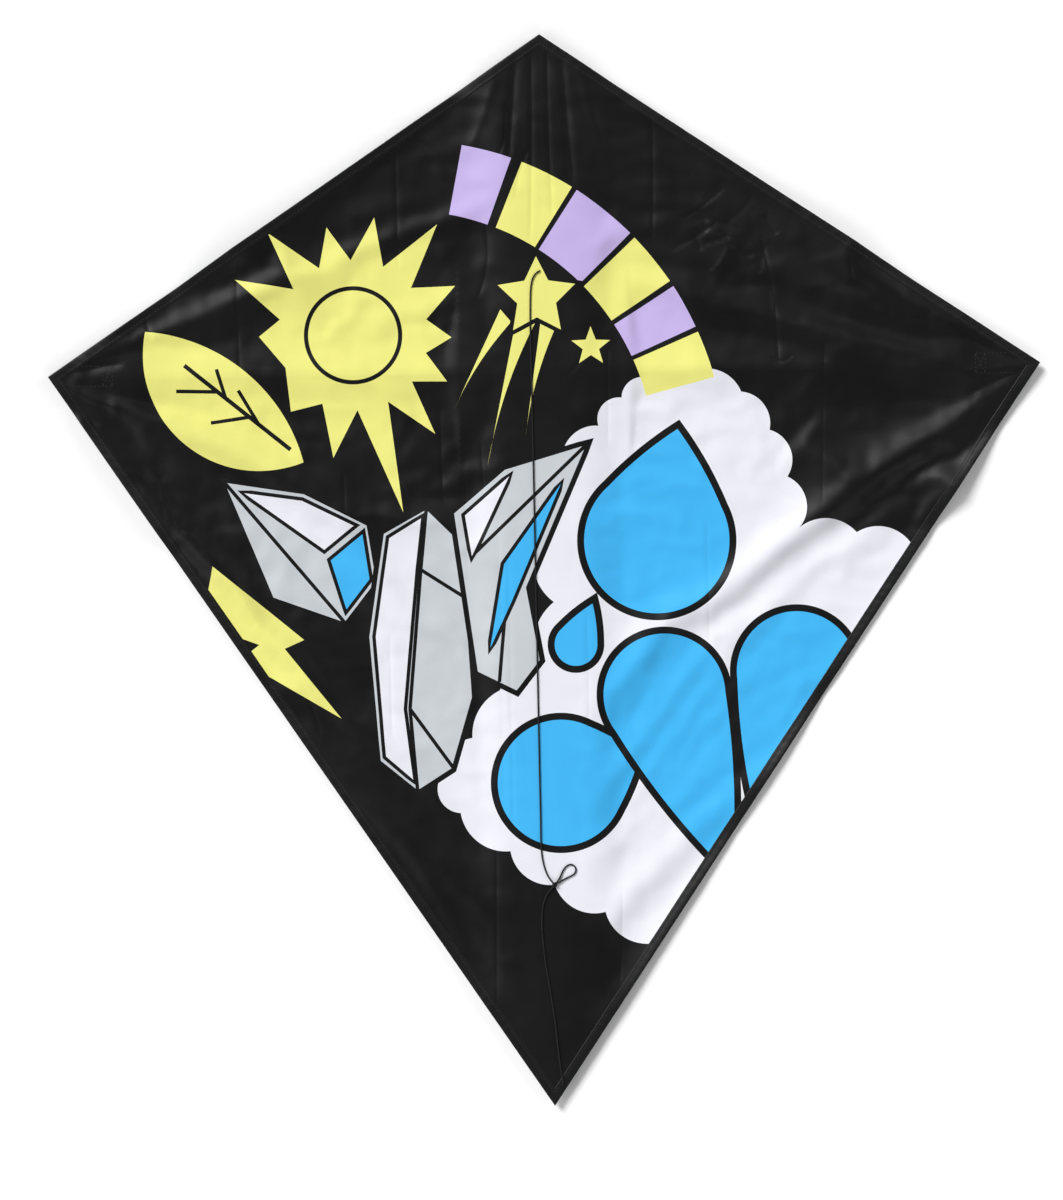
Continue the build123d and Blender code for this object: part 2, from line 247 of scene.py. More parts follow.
def fabric(name, colour, roughness, variation=0.06, pitch=0.9, relief=0.25, gloss=0.3):
    """Woven polyester: warp and weft relief at the pitch in mm, uneven dye and slubs."""
    g = Graph(name)
    place = g.add("ShaderNodeUVMap", {"uv_map": "cloth"})
    broad = g.noise(place, 14.0, 3.0)
    grain = g.noise(place, 700.0, 2.0, 0.6)
    waves = []
    for direction in ("X", "Y"):
        wave = g.add(
            "ShaderNodeTexWave",
            {"wave_type": "BANDS", "bands_direction": direction, "wave_profile": "SIN"},
            Scale=WAVE_TURN / (pitch * MM), Distortion=0.6, Detail=1.0, Detail_Scale=40.0,
        )
        g.link(place, "UV", wave, "Vector")
        waves.append((wave, "Fac"))
    g.tint(g.sum(broad, 0.6, grain, 0.4), colour, 1.0 - variation, 1.0 + variation)
    g.roughen(broad, roughness - 0.07, roughness + 0.07)
    g.shader.inputs["Specular IOR Level"].default_value = gloss
    threads = g.noise(g.mapped(place, Scale=(60.0, 900.0, 1.0)), 1.0, 2.0)
    g.bump(g.sum(g.math("MULTIPLY", *waves), 0.7, threads, 0.5), relief, 0.12 * MM)
    return g.material


def moulded(name, colour, roughness, streak=(1.0, 1.0, 1.0), scale=90.0, relief=0.2, metallic=0.0, coat=0.0):
    """Plastic, glass fibre or metal: streaked or even mottling in colour, gloss and relief."""
    g = Graph(name)
    stretch = g.mapped(g.add("ShaderNodeTexCoord"), Scale=streak)
    mottle = g.noise(stretch, scale, 3.0, 0.6)
    fine = g.noise(stretch, scale * 9.0, 2.0, 0.6)
    g.tint(mottle, colour, 0.85, 1.15)
    g.roughen(fine, roughness - 0.06, roughness + 0.08)
    g.shader.inputs["Metallic"].default_value = metallic
    g.shader.inputs["Coat Weight"].default_value = coat
    g.bump(g.sum(mottle, 0.5, fine, 0.5), relief, 0.1 * MM)
    return g.material


def braid(name, colour):
    """Braided line: crossed diagonal strands, from waves turned each way about the line."""
    g = Graph(name)
    place = g.add("ShaderNodeTexCoord")
    strands = []
    for turn in (0.7, -0.7):
        wave = g.add("ShaderNodeTexWave", {"wave_type": "BANDS"}, Scale=330.0, Distortion=0.8)
        g.link(g.mapped(place, Rotation=(0.4, 0.3, turn)), 0, wave, "Vector")
        strands.append((wave, "Fac"))
    pattern = g.math("MAXIMUM", *strands)
    fuzz = g.noise(place, 1500.0, 2.0)
    g.tint(pattern, colour, 0.6, 1.5)
    g.roughen(fuzz, 0.5, 0.75)
    g.shader.inputs["Sheen Weight"].default_value = 0.04
    g.shader.inputs["Specular IOR Level"].default_value = 0.25
    g.bump(g.math("ADD", pattern, g.math("MULTIPLY", fuzz, 0.3)), 0.6, 0.15 * MM)
    return g.material


INK = {
    "black": (0.0024, 0.0024, 0.0028),
    "yellow": (0.785, 0.765, 0.21),
    "lilac": (0.52, 0.42, 0.74),
    "grey": (0.53, 0.56, 0.59),
    "white": (0.755, 0.755, 0.815),
    "blue": (0.048, 0.43, 0.83),
}
INK_NAMES = list(INK)
INK_ROUGHNESS = {"black": 0.48, "yellow": 0.6, "lilac": 0.58, "grey": 0.58, "white": 0.6, "blue": 0.56}
front_inks = []
back_inks = []
for ink in INK_NAMES:
    dark = ink == "black"
    front_inks.append(fabric(
        "taffeta_" + ink, INK[ink], INK_ROUGHNESS[ink], relief=0.3 if dark else 0.2,
        variation=0.15 if dark else 0.035, gloss=0.26 if dark else 0.22,
    ))
    faded = (0.007, 0.007, 0.0078) if dark else shade(INK[ink], 0.62)
    back_inks.append(fabric("taffeta_back_" + ink, faded, 0.66, relief=0.35))
tape = fabric("binding_tape_weave", (0.003, 0.003, 0.0034), 0.52, pitch=1.4, relief=0.4, gloss=0.28)
lining = fabric("back_fabric_weave", (0.008, 0.008, 0.009), 0.62, pitch=1.1, relief=0.45)
thread = moulded("sewing_thread", (0.006, 0.006, 0.007), 0.55, scale=900.0, relief=0.5)
line = braid("bridle_braid", (0.006, 0.006, 0.007))
GLASS_COLOUR = (0.60, 0.58, 0.45)
glass_spine = moulded("glass_fibre_spine", GLASS_COLOUR, 0.38, (60.0, 1.2, 60.0), 9.0, 0.4, coat=0.2)
glass_spar = moulded("glass_fibre_spar", GLASS_COLOUR, 0.38, (1.2, 60.0, 60.0), 9.0, 0.4, coat=0.2)
vinyl = moulded("vinyl_caps", (0.013, 0.013, 0.014), 0.48, scale=320.0, relief=0.35)
nylon = moulded("moulded_nylon", (0.018, 0.018, 0.02), 0.5, scale=260.0, relief=0.6)
steel = moulded("turned_steel", (0.55, 0.55, 0.57), 0.3, (1.0, 60.0, 1.0), 40.0, 0.3, metallic=1.0)
for finish, nodes in (
    (glass_spine, ["spine_rod"]),
    (glass_spar, ["spar_left", "spar_right"]),
    (vinyl, ["spine_cap_nose", "spine_cap_tail", "spar_cap_left", "spar_cap_right"]),
    (vinyl, ["hub_stop_upper", "hub_stop_lower"]),
    (nylon, ["hub_body", "hub_arm_left", "hub_arm_right"]),
    (steel, ["hub_pin_left", "hub_pin_right"]),
    (line, ["bridle_spine_ring"]),
):
    for node in nodes:
        for material_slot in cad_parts[node].material_slots:
            material_slot.material = finish
for cord in (upper_leg, lower_leg, tow_loop):
    cord.data.materials.append(line)

# ---------------------------------------------------------------- sail surface


def heading_of(start, end):
    """The length of a run and its unit direction."""
    dx, dy = end[0] - start[0], end[1] - start[1]
    length = math.hypot(dx, dy)
    return length, dx / length, dy / length


def bump_of(distance, width):
    return np.exp(-((distance / width) ** 2))


def ease(t):
    t = np.clip(t, 0.0, 1.0)
    return t * t * (3.0 - 2.0 * t)


def bow_of(s, bow):
    """Sideways distance of a bowed line at s, which goes from 0 to 1 along it."""
    return bow * 4.0 * s * (1.0 - s)


CREASE_FADE = 0.18


def crease(x, y, start, end, height, width, bow=0.0):
    """A packing crease or wrinkle along a line, bowed sideways by bow, that dies out at its ends."""
    length, ux, uy = heading_of(start, end)
    s = ((x - start[0]) * ux + (y - start[1]) * uy) / length
    d = (y - start[1]) * ux - (x - start[0]) * uy - bow_of(s, bow)
    fade = ease(s / CREASE_FADE + 0.5) * ease((1.0 - s) / CREASE_FADE + 0.5)
    return height * fade * bump_of(d, width)


def fan(x, y, tip, heading, spread, height, peak, twist=0.0):
    """A fold that runs out from a wing tip: it widens as it goes, is highest at peak mm, then dies out."""
    dx, dy = x - tip[0], y - tip[1]
    r = np.hypot(dx, dy)
    angle = np.degrees(np.arctan2(dy, dx)) - heading - twist * r / 100.0
    angle = (angle + 180.0) % 360.0 - 180.0
    grow = (r / peak) * np.exp(1.0 - r / peak)
    return height * grow * bump_of(angle, spread)


LEFT_TIP, RIGHT_TIP = (-TIP_X, SPAR_Y), (TIP_X, SPAR_Y)
# Folds that run from the wing tips: heading and spread in degrees, height in mm, distance of the peak, twist
LEFT_FANS = [
    (21.5, 4.5, 3.4, 130, 0.0), (8.0, 6.0, -4.0, 150, 0.0), (-23.0, 8.0, 4.2, 140, 0.0),
    (-41.0, 6.0, -4.6, 160, 0.0), (-51.5, 3.5, 2.6, 130, 0.0),
]
RIGHT_FANS = [
    (157.0, 4.5, 3.6, 150, -3.0), (171.5, 5.0, -4.0, 140, -3.0), (194.0, 8.0, -3.4, 150, 0.0),
    (214.0, 7.0, 4.4, 150, 0.0), (230.0, 4.5, -3.0, 150, 0.0),
]
# Creases in mm: start, end, height, width, bow
BROAD_FOLDS = [
    ((-230, 300), (-40, 380), -2.2, 26, 10), ((-170, 60), (-160, -160), 2.0, 34, 12),
    ((-250, -20), (-120, -250), -2.6, 30, -14), ((60, 330), (180, 300), 2.2, 30, 0),
    ((90, 60), (60, -120), 1.8, 32, 16), ((190, -20), (120, -240), -2.0, 30, 10),
    ((-90, -170), (-60, -420), 2.2, 20, 6), ((60, -230), (30, -440), -1.8, 18, 8),
    ((240, 120), (300, 60), 2.0, 30, 0), ((-120, 240), (-70, 100), -1.6, 24, 8),
]
CREASES = [
    ((-51, -262), (-53, -414), -0.32, 1.7, 0), ((104, 429), (103, 309), -0.36, 1.8, 1),
    ((-136, 396), (-135, 284), -0.3, 1.8, 0), ((-286, 300), (-284, 188), -0.32, 2.0, -1),
    ((-360, 92), (-356, 44), -0.3, 1.9, 0), ((-189, 92), (-188, 56), -0.3, 1.7, 0),
    ((-33, 438), (-40, 388), -0.4, 2.4, 5), ((-53, 322), (-60, 258), -0.45, 2.3, 5),
    ((206, 304), (219, 192), -0.4, 2.0, 3), ((291, 306), (290, 266), -0.4, 2.0, -3),
    ((212, 196), (232, 197), -0.3, 1.9, -5), ((262, 208), (258, 60), -0.22, 1.7, 0),
    ((66, -300), (62, -392), -0.28, 1.7, 1), ((-330, 20), (-322, -30), -0.35, 2.0, 1),
    ((-98, 150), (-96, 66), -0.28, 1.8, 0), ((60, 205), (59, 118), -0.3, 1.7, 0),
    ((-148, -60), (-147, -150), -0.28, 1.7, 0), ((150, 40), (151, -70), -0.28, 1.8, 0),
    ((36, -40), (37, -150), -0.28, 1.7, 1), ((-232, -100), (-214, -152), -0.3, 2.0, 2),
    ((-22, 486), (-30, 386), -1.1, 3.6, 0), ((20, 486), (29, 366), -1.0, 3.6, 0),
    ((-8, 486), (-11, 312), -0.6, 2.2, 1), ((7, 486), (10, 330), -0.55, 2.2, -1),
    ((-42, 470), (-66, 396), 0.7, 5.0, 3), ((38, 472), (58, 400), 0.6, 5.0, -3),
    ((-371, 246), (-366, 222), -0.6, 2.4, -2), ((312, 282), (330, 272), -0.5, 2.4, 2),
    ((-60, 120), (-58, 74), -0.28, 1.8, 0), ((-45, 60), (-43, -220), -0.3, 3.0, 0),
    ((-36, 10), (-35, -250), -0.28, 2.4, 0), ((-76, 96), (-74, -110), -0.26, 2.8, 1),
    ((-118, 404), (-84, 374), -0.4, 2.6, 3),
    ((448, 188), (404, 208), -1.2, 3.4, 2), ((450, 184), (396, 180), 0.7, 3.6, 0),
    ((448, 180), (398, 158), -0.9, 3.6, -2), ((-452, 186), (-396, 198), -1.2, 3.6, 2),
    ((-450, 180), (-398, 156), 0.9, 4.0, -2), ((-452, 178), (-420, 140), -0.8, 3.4, 0),
    ((34, 196), (20, 182), -0.3, 2.4, 2), ((-12, 392), (-24, 350), -0.35, 2.0, -2),
]
CRUMPLE_X, CRUMPLE_Y = (140, 214), (276, 372)
rng = np.random.default_rng(11)


def small_crease():
    """One crease at a random place in the crumpled patch on the upper right."""
    cx, cy = rng.uniform(*CRUMPLE_X), rng.uniform(*CRUMPLE_Y)
    turn, half = rng.uniform(0, math.pi), rng.uniform(10, 24)
    height, width, bow = rng.uniform(-0.6, 0.35), rng.uniform(1.9, 3.4), rng.uniform(-3, 3)
    run_x, run_y = math.cos(turn) * half, math.sin(turn) * half
    return (cx - run_x, cy - run_y), (cx + run_x, cy + run_y), height, width, bow


CRUMPLE = [small_crease() for _ in range(26)]
# Ripples: wavelength in mm, heading, phase, height in mm
RIPPLES = [
    (rng.uniform(20, 70), rng.uniform(0, math.pi), rng.uniform(0, 6.28), rng.uniform(0.04, 0.10))
    for _ in range(14)
]


def inner_distance(x, y):
    """Distance in mm from the nearer of the two hem lines of that side, positive inside the sail."""
    ax = np.abs(x)
    up_length = math.hypot(TIP_X, NOSE_Y - SPAR_Y)
    low_length = math.hypot(TIP_X, SPAR_Y - TAIL_Y)
    upper = ((NOSE_Y - y) * TIP_X - ax * (NOSE_Y - SPAR_Y)) / up_length
    lower = ((y - TAIL_Y) * TIP_X - ax * (SPAR_Y - TAIL_Y)) / low_length
    return np.minimum(upper, lower)


def tip_distance(x, y):
    return np.minimum(np.hypot(x + TIP_X, y - SPAR_Y), np.hypot(x - TIP_X, y - SPAR_Y))


def designed_folds(x, y):
    """The broad folds that the photograph shows, in mm above the flat cloth."""
    z = np.zeros_like(x)
    for side, tip, folds in ((-1, LEFT_TIP, LEFT_FANS), (1, RIGHT_TIP, RIGHT_FANS)):
        for fold in folds:
            z += np.where(x * side > 0, fan(x, y, tip, *fold), 0.0)
    for fold in BROAD_FOLDS:
        z += crease(x, y, *fold)
    return z


SIM_STEP = 9.0
SIM_FRAMES = 36
HELD_HALF_WIDTH, HELD_AT_TIP = 28.0, 16.0
GRID_STEP = 6.0
ROW_PITCH = 0.866  # height of a row of equal triangles, over their side
grid_x = np.arange(-TIP_X - 3 * GRID_STEP, TIP_X + 4 * GRID_STEP, GRID_STEP)
grid_y = np.arange(TAIL_Y - 3 * GRID_STEP, NOSE_Y + 4 * GRID_STEP, GRID_STEP)


def edge_points(a, b, step):
    count = max(2, int(round(math.hypot(b[0] - a[0], b[1] - a[1]) / step)))
    t = np.arange(count) / count
    return [(a[0] + (b[0] - a[0]) * u, a[1] + (b[1] - a[1]) * u) for u in t]


def rim_points(step):
    corners = [NOSE, RIGHT_TIP, TAIL, LEFT_TIP]
    return [p for k in range(4) for p in edge_points(corners[k], corners[(k + 1) % 4], step)]


def lattice(step, margin):
    """Rows of points, each row shifted by half a step, inside the sail by the margin."""
    points = []
    for row in range(int((NOSE_Y - TAIL_Y) / (step * ROW_PITCH)) + 1):
        y = TAIL_Y + row * step * ROW_PITCH
        xs = np.arange(-TIP_X, TIP_X, step) + (step / 2 if row % 2 else 0.0)
        points += [(float(x), float(y)) for x in xs[inner_distance(xs, y) > margin]]
    return points


def flat_square(name, half, z=0.0):
    """A level square about the origin, in metres."""
    data = bpy.data.meshes.new(name)
    corners = [(-half, -half, z), (half, -half, z), (half, half, z), (-half, half, z)]
    data.from_pydata(corners, [], [(0, 1, 2, 3)])
    return add_object(name, data)


def simulated_folds():
    """The sail laid on its frame and the floor by cloth simulation. The cloth starts from the designed folds,
    is a little larger than its frame and is held along the spine and at the wing tips."""
    points = rim_points(SIM_STEP) + lattice(SIM_STEP, SIM_STEP * 0.6)
    found = delaunay_2d_cdt([Vector(p) for p in points], [], [], 0, 0.001)
    x, y = np.array([(v.x, v.y) for v in found[0]]).T
    heights = np.maximum(CLOTH_TOP + designed_folds(x, y), 0.6)
    data = bpy.data.meshes.new("sail_simulated")
    coords = np.column_stack([x, y, heights]) * MM
    data.from_pydata([tuple(c) for c in coords], [], [tuple(f) for f in found[2]])
    cloth = add_object("sail_simulated", data)
    held = (np.abs(x) < HELD_HALF_WIDTH) | (tip_distance(x, y) < HELD_AT_TIP)
    pin = cloth.vertex_groups.new(name="held")
    pin.add([int(i) for i in np.nonzero(held)[0]], 1.0, "REPLACE")
    ground = flat_square("sim_ground", 1)
    ground.modifiers.new("Collision", "COLLISION")
    ground.collision.thickness_outer = 0.4 * MM
    modifier = cloth.modifiers.new("Cloth", "CLOTH")
    for key, value in {
        "quality": 7, "mass": 0.06, "air_damping": 3.0, "tension_stiffness": 40.0,
        "compression_stiffness": 40.0, "shear_stiffness": 20.0, "bending_stiffness": 0.6,
        "vertex_group_mass": "held", "shrink_min": -0.004,
    }.items():
        setattr(modifier.settings, key, value)
    modifier.settings.effector_weights.gravity = 0.5
    modifier.collision_settings.distance_min = 0.5 * MM
    modifier.collision_settings.use_self_collision = False
    modifier.point_cache.frame_end = SIM_FRAMES
    for number in range(1, SIM_FRAMES + 1):
        bpy.context.scene.frame_set(number)
    view = bpy.context.evaluated_depsgraph_get()
    tree = BVHTree.FromObject(cloth.evaluated_get(view), view)
    folds = np.zeros((len(grid_y), len(grid_x)))
    for j, y in enumerate(grid_y):
        for i, x in enumerate(grid_x):
            hit = tree.ray_cast(Vector((x * MM, y * MM, 0.5)), Vector((0, 0, -1)))[0]
            if hit is None:
                hit = tree.find_nearest(Vector((x * MM, y * MM, CLOTH_TOP * MM)))[0]
            folds[j, i] = hit.z / MM - CLOTH_TOP
    bpy.context.scene.frame_set(1)
    for obj in (cloth, ground):
        bpy.data.objects.remove(obj)
    return folds


fold_grid = simulated_folds()


def spline_weights(t):
    return (
        (1 - t) ** 3 / 6, (3 * t**3 - 6 * t**2 + 4) / 6,
        (-3 * t**3 + 3 * t**2 + 3 * t + 1) / 6, t**3 / 6,
    )


def from_grid(x, y):
    """Cubic B-spline through the fold grid: smooth in height, slope and bend."""
    u = np.clip((x - grid_x[0]) / GRID_STEP, 1.0, len(grid_x) - 3.001)
    v = np.clip((y - grid_y[0]) / GRID_STEP, 1.0, len(grid_y) - 3.001)
    i, j = u.astype(int), v.astype(int)
    wu, wv = spline_weights(u - i), spline_weights(v - j)
    total = np.zeros_like(x, dtype=float)
    for b in range(4):
        for a in range(4):
            total += wv[b] * wu[a] * fold_grid[j + b - 1, i + a - 1]
    return total


# Zones of the sail in mm: the distance where each begins to end, and the run over which it fades out
SPINE_ZONE = (26.0, 45.0)
HUB_ZONE = (78.0, 16.0)
POCKET_ZONE = (340.0, 56.0)
LINE_ZONE, LINE_TOP = (16.0, 18.0), (286.0, 20.0)
HEM_ZONE = (4.0, 18.0)
TIP_ZONE = (3.0, 26.0)
OVER_ROD, OVER_SLEEVE = 0.75, 1.0  # the face above a rod's top, and the more where a hub arm or pocket is
SPAR_FALL, COVERED_FALL = 0.16, 0.1  # how steeply the sail may fall away from a spar, and the less there
LOWEST_FACE, LOWEST_MESH = 0.7, 0.55
SOFT_REACH = 1.5


def past(distance, zone):
    return ease((distance - zone[0]) / zone[1])


def soft_floor(gap):
    """Rounds the approach to a support from above: 0 gap and less becomes a small rest height."""
    t = np.clip((gap + SOFT_REACH) / (2 * SOFT_REACH), 0.0, 1.0)
    return SOFT_REACH * t * t


def sail_z(x, y):
    """Height in mm of the sail's printed face."""
    x, y = np.asarray(x, float), np.asarray(y, float)
    out = np.abs(x)
    z = CLOTH_TOP + from_grid(x, y)
    z = CLOTH_TOP + (z - CLOTH_TOP) * past(out, SPINE_ZONE)
    spar_gap = np.maximum(np.abs(y - SPAR_Y) - 2.0, 0.0)
    covered = np.maximum(1.0 - past(out, HUB_ZONE), past(out, POCKET_ZONE))
    spar_level = ROD_Z + ROD_RADIUS + OVER_ROD + OVER_SLEEVE * covered
    floor_level = np.maximum(LOWEST_FACE, spar_level - spar_gap * (SPAR_FALL - COVERED_FALL * covered))
    gap = z - floor_level
    z = floor_level + np.where(gap > SOFT_REACH, gap, soft_floor(gap))
    fine = np.zeros_like(z)
    for fold in CREASES + CRUMPLE:
        fine += crease(x, y, *fold)
    for wavelength, turn, phase, height in RIPPLES:
        along = (x * math.cos(turn) + y * math.sin(turn)) / wavelength * 2 * math.pi
        fine += height * np.sin(along + phase + 1.3 * np.sin(along * 0.37 + phase))
    under_line = (1.0 - past(out, LINE_ZONE)) * (1.0 - past(y, LINE_TOP))
    at_hem = 1.0 - past(inner_distance(x, y), HEM_ZONE)
    calm = (1.0 - 0.75 * under_line) * (1.0 - 0.75 * at_hem)
    z = z + fine * calm
    z = CLOTH_TOP + (z - CLOTH_TOP) * past(tip_distance(x, y), TIP_ZONE)
    return np.maximum(z, LOWEST_MESH)


def sail_normal(x, y, step=0.4):
    dx = (sail_z(x + step, y) - sail_z(x - step, y)) / (2 * step)
    dy = (sail_z(x, y + step) - sail_z(x, y - step)) / (2 * step)
    normal = np.column_stack([-dx, -dy, np.ones_like(dx)])
    return normal / np.linalg.norm(normal, axis=1)[:, None]


# ---------------------------------------------------------------- printed artwork
# Outlines in mm. A third number bends the run to the next point: its rise over half the run, left positive.


def polar(centre, radius, angle):
    return centre[0] + radius * math.cos(angle), centre[1] + radius * math.sin(angle)


def outline(points, step=3.0):
    """A closed outline of straight runs and circular arcs as a fine polygon."""
    result = []
    for k, point in enumerate(points):
        p = np.array(point[:2], float)
        q = np.array(points[(k + 1) % len(points)][:2], float)
        rise = point[2] if len(point) > 2 else 0.0
        chord = q - p
        length = np.hypot(*chord)
        if abs(rise) < 1e-6:
            count = max(1, int(round(length / (2 * step))))
            result += [tuple(p + chord * i / count) for i in range(count)]
            continue
        sagitta = rise * length / 2
        radius = (length**2 / 4 + sagitta**2) / (2 * abs(sagitta))
        left = np.array([-chord[1], chord[0]]) / length
        centre = (p + q) / 2 + left * (sagitta - math.copysign(radius, sagitta))
        sweep = -math.copysign(4 * math.atan(abs(rise)), sagitta)
        start = math.atan2(p[1] - centre[1], p[0] - centre[0])
        count = max(4, int(abs(sweep) * radius / step))
        result += [polar(centre, radius, start + sweep * i / count) for i in range(count)]
    return np.array(result)


def grown(polygon, width):
    """The polygon with its outline moved outwards by width, corners limited to twice that."""
    after = np.roll(polygon, -1, 0) - polygon
    area = (polygon[:, 0] * np.roll(polygon[:, 1], -1) - polygon[:, 1] * np.roll(polygon[:, 0], -1)).sum()
    turn = 1.0 if area > 0 else -1.0
    out = np.column_stack([after[:, 1], -after[:, 0]]) * turn
    out /= np.linalg.norm(out, axis=1)[:, None]
    before = np.roll(out, 1, 0)
    mean = out + before
    mean /= np.maximum(np.linalg.norm(mean, axis=1)[:, None], 1e-6)
    cosine = np.maximum((mean * out).sum(1), 0.5)
    return polygon + mean * (width / cosine)[:, None]


def ring_block(centre, inner, outer, start, end):
    """A block of a ring between two headings in degrees."""
    bend = math.tan(math.radians(abs(end - start)) / 4)
    a, b = math.radians(start), math.radians(end)
    return outline([
        (*polar(centre, outer, a), bend), polar(centre, outer, b),
        (*polar(centre, inner, b), -bend), polar(centre, inner, a),
    ])


def drop(centre, radius, tip):
    """A raindrop: a round end and two slightly hollow sides to the tip."""
    distance, ux, uy = heading_of(centre, tip)
    half = math.acos(min(0.98, radius / distance * 0.96))
    heading = math.atan2(uy, ux)
    round_end = math.tan((2 * math.pi - 2 * half) / 4)
    return outline([
        (*polar(centre, radius, heading + half), -round_end),
        (*polar(centre, radius, heading - half), -0.06), (*tip, -0.06),
    ])


def sunburst(centre, inner, rays):
    """Pointed rays around a disc; each ray is its heading in degrees and its length."""
    points = []
    for k, (heading, length) in enumerate(rays):
        after = rays[(k + 1) % len(rays)][0]
        valley = heading - ((heading - after) % 360) / 2
        points.append(polar(centre, length, math.radians(heading)))
        points.append(polar(centre, inner, math.radians(valley)))
    return outline(points)


def disc(centre, radius):
    return outline([(centre[0] - radius, centre[1], 1.0), (centre[0] + radius, centre[1], 1.0)])


def stroke(start, end, width):
    (x0, y0), (x1, y1) = start, end
    _, ux, uy = heading_of(start, end)
    nx, ny = -uy * width / 2, ux * width / 2
    return outline([(x0 + nx, y0 + ny), (x1 + nx, y1 + ny), (x1 - nx, y1 - ny), (x0 - nx, y0 - ny)])


ARC_CENTRE, ARC_INNER, ARC_OUTER = (-132.7, 103.1), 235.0, 301.0
ARC_BLOCKS = [
    (78.7, 69.6, "lilac"), (67.6, 57.6, "yellow"), (56.6, 44.4, "lilac"),
    (43.3, 33.3, "yellow"), (32.2, 24.0, "lilac"), (23.0, 14.4, "yellow"),
]
SUN = (-178.0, 222.0)
SUN_RAYS = [
    (154, 122), (129, 124), (103, 104), (79, 112), (52, 130), (25, 106), (-2, 92),
    (-27, 98), (-51, 120), (-75, 172), (-100, 116), (-130, 92), (180, 88),
]
CLOUD = [
    (50, 134, 0.55), (72, 160, 0.5), (98, 178, 0.45), (140, 184, 0.4), (184, 164, 0.45), (210, 128, 0.5),
    (226, 84, 0.5), (236, 36, 0.4), (290, 31, 0.45), (344, 14), (360, 20), (110, -360), (96, -350, 0.4),
    (50, -320, 0.4), (3, -294, 0.4), (-38, -262, 0.4), (-84, -226, 0.5), (-104, -196, 0.4),
    (-72, -156, 0.3), (-46, -112, 0.2), (-12, -84, 0.3), (6, -30, 0.45), (0, 38, 0.4), (16, 96, 0.5),
]
SHARDS = [
    [(-300, 86), (-226, 74), (-168, 44), (-160, -8), (-190, -46), (-256, -22)],
    [(-152, 36), (-112, 58), (-80, 26), (-72, -118), (-92, -184), (-124, -204), (-158, -176), (-167, -60)],
    [(38, 116), (-38, 94), (-86, 54), (-66, -94), (-30, -112), (-8, -84), (-20, -16)],
]
FACETS = [
    ("white", [(-282, 76), (-228, 68), (-180, 44), (-208, 22)]),
    ("blue", [(-202, 12), (-172, 36), (-166, -6), (-188, -34)]),
    ("white", [(-147, 32), (-117, 50), (-123, 2), (-136, -128), (-128, -194), (-153, -172), (-161, -60)]),
    ("blue", [(14, 80), (-40, 6), (-54, -72), (-33, -28)]),
    ("white", [(-34, 88), (-76, 52), (-70, 14)]),
]
FACET_LINES = [
    ((-300, 86), (-190, -46)), ((-118, 2), (-112, 58)), ((-118, 2), (-130, -128)), ((-118, 2), (-78, -24)),
    ((-130, -128), (-124, -204)), ((-130, -128), (-90, -184)), ((38, 116), (-70, 14)),
    ((-46, -104), (-40, -42)),
]
DROPS = [
    ((103, 26), 68, (124, 130)), ((10, -199), 59, (84, -174)), ((108, -118), 57, (168, -288)),
    ((232, -98), 56, (196, -250)), ((26, -70), 20, (42, -32)),
]

STAR_POINTS = (90, 18, -54, -126, -198)
DISC_RADIUS = 42.0
CRYSTAL_BORDER, DROP_BORDER, SUN_BORDER = 5.0, 6.5, 4.0
PEN = 3.4  # thin black lines and borders
paint = []


def add_print(ink, polygon, border=0.0):
    """Prints a polygon over what is there, with a black border of the given width."""
    if border:
        paint.append(("black", grown(polygon, border)))
    paint.append((ink, polygon))


add_print("white", outline(CLOUD))
for start, end, ink in ARC_BLOCKS:
    add_print(ink, ring_block(ARC_CENTRE, ARC_INNER, ARC_OUTER, start, end))
add_print("yellow", sunburst(SUN, 70.0, SUN_RAYS))
add_print("black", disc(SUN, DISC_RADIUS + SUN_BORDER))
add_print("yellow", disc(SUN, DISC_RADIUS))
for first, end, last in (
    ((-40, 244), (-84, 152), (-30, 232)), ((-25, 236), (-54, 98), (-6, 234)),
    ((-2, 236), (-18, 126), (14, 232)),
):
    add_print("yellow", outline([first, (*end, 0.08), last]))
for middle, valley, point in (((-6.0, 255.0), 19.0, 38.0), ((44.0, 208.0), 8.0, 19.0)):
    add_print("yellow", sunburst(middle, valley, [(heading, point) for heading in STAR_POINTS]), SUN_BORDER)
add_print("yellow", outline([(-372, 228, 0.32), (-226, 104, 0.6)]))
add_print("black", stroke((-238, 116), (-336, 196), 4.0))
for root, end in (
    ((-268, 141), (-286, 172)), ((-298, 165), (-306, 192)), ((-276, 147), (-312, 142)),
    ((-306, 171), (-344, 172)),
):
    add_print("black", stroke(root, end, PEN))
add_print("yellow", outline([
    (-312, 8), (-228, -62), (-246, -70), (-194, -136), (-288, -80), (-270, -66), (-324, -46),
]))
for shard in SHARDS:
    add_print("grey", outline(shard), CRYSTAL_BORDER)
for start, end in FACET_LINES:
    add_print("black", stroke(start, end, PEN))
for ink, facet in FACETS:
    add_print(ink, outline(facet), PEN)
for centre, radius, tip in DROPS:
    add_print("blue", drop(centre, radius, tip), DROP_BORDER)


def inside(polygon, points):
    """Which points lie in the polygon, by counting the outline's crossings."""
    result = np.zeros(len(points), bool)
    low, high = polygon.min(0), polygon.max(0)
    near = np.nonzero(((points >= low) & (points <= high)).all(1))[0]
    px, py = points[near, 0], points[near, 1]
    odd = np.zeros(len(near), bool)
    for (x0, y0), (x1, y1) in zip(polygon, np.roll(polygon, -1, 0)):
        if y0 == y1:
            continue
        cross = (y0 > py) != (y1 > py)
        odd ^= cross & (px < (x1 - x0) * (py - y0) / (y1 - y0) + x0)
    result[near] = odd
    return result


